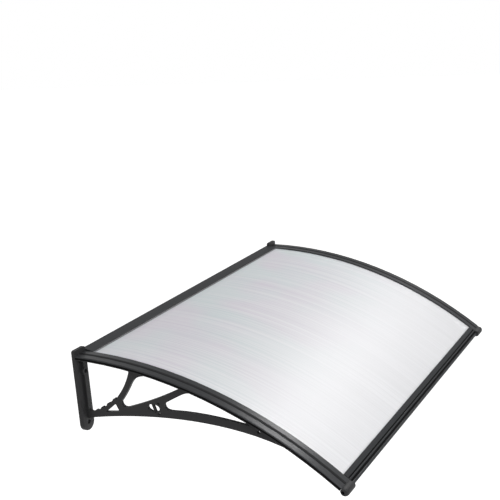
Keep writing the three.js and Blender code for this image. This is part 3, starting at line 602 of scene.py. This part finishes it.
# Rings of points run from the inner end, with its small rounded edge, over the dome and into the recess.
cap_low, cap_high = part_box("front_right_cap")
edge_turns = [math.pi / 2 * i / EDGE_STEPS for i in range(EDGE_STEPS + 1)]
cap_rings = []
for turn in edge_turns:
    inset = CAP_EDGE * (1 - math.sin(turn))
    ring = [towards(corner, CAP_MIDDLE, inset / math.dist(corner, CAP_MIDDLE)) for corner in cap_outline]
    cap_rings.append((cap_low.x + CAP_EDGE / 1000 * (1 - math.cos(turn)), ring))
for turn in reversed(edge_turns):
    share = DOME_SHARE * (1 - math.sin(turn))
    ring = [towards(corner, DOME_HEART, share) for corner in cap_outline]
    cap_rings.append((cap_high.x - DOME_LENGTH * (1 - math.cos(turn)), ring))
recess_turns = [math.atan2(level - RECESS[1], along - RECESS[0]) for along, level in cap_outline]
recess_ring = [around(RECESS, RECESS_RADIUS, turn) for turn in recess_turns]
cap_rings += [(cap_high.x, recess_ring), (cap_high.x - RECESS_DEPTH, recess_ring)]

count = len(cap_outline)
last_ring = (len(cap_rings) - 1) * count
cap_faces = [list(range(count)), list(range(last_ring, last_ring + count))]
for number in range(len(cap_rings) - 1):
    cap_faces += ring_faces(number * count, (number + 1) * count, count)

washer_outline = [at_front(*corner) for corner in WASHER_SECTION]
for side, sign in (("left", -1), ("right", 1)):
    points = []
    for x, ring in cap_rings:
        points += [(sign * x, -out, height) for out, height in (at_front(*corner) for corner in ring)]
    cap = smooth_piece(f"{side}_round_cap", points, cap_faces, polypropylene)
    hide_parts(f"front_{side}_cap")
    dress(f"{side}_cap_screw", blackened)
    centre = sign * web_centre
    washer = prisms(f"{side}_cap_washer", [washer_outline], centre - WASHER_HALF, centre + WASHER_HALF, epdm)

# Floor: the pale ground in front of the door, as far below the canopy as a door is high.
# It is plain matt white, so that the canopy stands against white and still throws a soft shadow down there.
FLOOR_Z = -2.15
FLOOR_HALF = 30.0
FLOOR_LIFT = 0.75
floor_mesh = bpy.data.meshes.new("floor")
floor_mesh.from_pydata([(-FLOOR_HALF, -FLOOR_HALF, FLOOR_Z), (FLOOR_HALF, -FLOOR_HALF, FLOOR_Z),
                        (FLOOR_HALF, FLOOR_HALF, FLOOR_Z), (-FLOOR_HALF, FLOOR_HALF, FLOOR_Z)],
                       [], [(0, 1, 2, 3)])
floor = bpy.data.objects.new("floor", floor_mesh)
bpy.context.scene.collection.objects.link(floor)


def looking_rays(tree):
    """The light path node, and 1 for rays that look, straight, by a mirror or through the sheet."""
    ray = add_node(tree, "ShaderNodeLightPath")
    looking = ray.outputs["Is Camera Ray"]
    for kind in ("Is Glossy Ray", "Is Transmission Ray"):
        either = add_node(tree, "ShaderNodeMath", {0: looking, 1: ray.outputs[kind]}, operation="MAXIMUM")
        looking = either.outputs[0]
    return ray, looking


# Matt white floor: even and shadow-catching, lifted to white only for rays that look at it.
white_floor = bpy.data.materials.new("matt_white_floor")
white_floor.use_nodes = True
tree = white_floor.node_tree
shader = tree.nodes["Principled BSDF"]
looking = looking_rays(tree)[1]
lift = add_node(tree, "ShaderNodeMath", {0: looking, 1: FLOOR_LIFT}, operation="MULTIPLY")
tree.links.new(lift.outputs[0], shader.inputs["Emission Strength"])
shader.inputs["Emission Color"].default_value = linear("#ffffff")
shader.inputs["Base Color"].default_value = linear("#f4f4f4")
shader.inputs["Roughness"].default_value = 0.9
floor.data.materials.append(white_floor)

# Studio: an even white surround, a large soft lamp in front and a softbox to the right along the trims.
# A grey flag to the right takes some of the white out of what the sheet and the bars mirror.
SURROUND_LIGHT = 0.4
SURROUND_SEEN = 1.0
FLAG_DIRECTION = (0.8975, 0.126, 0.4226)
FLAG_EDGE = math.cos(math.radians(30))
FLAG_CORE = math.cos(math.radians(12))
FLAG_GREY = 0.4
world = bpy.data.worlds.new("white_studio")
bpy.context.scene.world = world
world.use_nodes = True
tree = world.node_tree
backdrop = tree.nodes["Background"]
ray, looking = looking_rays(tree)
surround = add_node(tree, "ShaderNodeMapRange",
                    {"Value": looking, "To Min": SURROUND_LIGHT, "To Max": SURROUND_SEEN})
gaze = add_node(tree, "ShaderNodeTexCoord")
near_flag = add_node(tree, "ShaderNodeVectorMath", {0: gaze.outputs["Generated"], 1: FLAG_DIRECTION},
                     operation="DOT_PRODUCT")
flag = add_node(tree, "ShaderNodeMapRange",
                {"Value": near_flag.outputs["Value"], "From Min": FLAG_EDGE, "From Max": FLAG_CORE,
                 "To Min": 1.0, "To Max": FLAG_GREY})
mirrored = add_node(tree, "ShaderNodeMapRange",
                    {"Value": ray.outputs["Is Glossy Ray"], "To Min": 1.0, "To Max": flag.outputs[0]})
strength = add_node(tree, "ShaderNodeMath", {0: surround.outputs[0], 1: mirrored.outputs[0]},
                    operation="MULTIPLY")
backdrop.inputs["Color"].default_value = linear("#ffffff")
tree.links.new(strength.outputs[0], backdrop.inputs["Strength"])

for name, stand, target, size, watts in (
    ("front_softbox", (-2.2, -3.2, 1.8), (0.0, -0.5, -0.1), (3.0, 2.0), 125),
    ("right_softbox", (2.2, -0.95, 1.95), (-0.576, -0.58, -0.14), (0.5, 1.0), 42),
):
    lamp = bpy.data.lights.new(name, "AREA")
    lamp.shape = "RECTANGLE"
    lamp.size, lamp.size_y = size
    lamp.energy = watts
    softbox = bpy.data.objects.new(name, lamp)
    softbox.location = stand
    softbox.rotation_euler = (Vector(target) - Vector(stand)).to_track_quat("-Z", "Y").to_euler()
    bpy.context.scene.collection.objects.link(softbox)

# Camera: to the left in front of the canopy, a little above it, looking down along the sheet.
# A long lens from about three metres. The turn is its tilt, lean and heading in degrees.
CAMERA_STAND = (-2.5097, -1.6121, 0.8787)
CAMERA_TURN = (75.6105, 4.2501, -62.2905)
lens = bpy.data.cameras.new("camera")
lens.lens = 70.51
lens.sensor_width = 36.0
camera = bpy.data.objects.new("camera", lens)
camera.location = CAMERA_STAND
camera.rotation_euler = [math.radians(turn) for turn in CAMERA_TURN]
bpy.context.scene.collection.objects.link(camera)
bpy.context.scene.camera = camera
bpy.context.scene.view_settings.view_transform = "Standard"
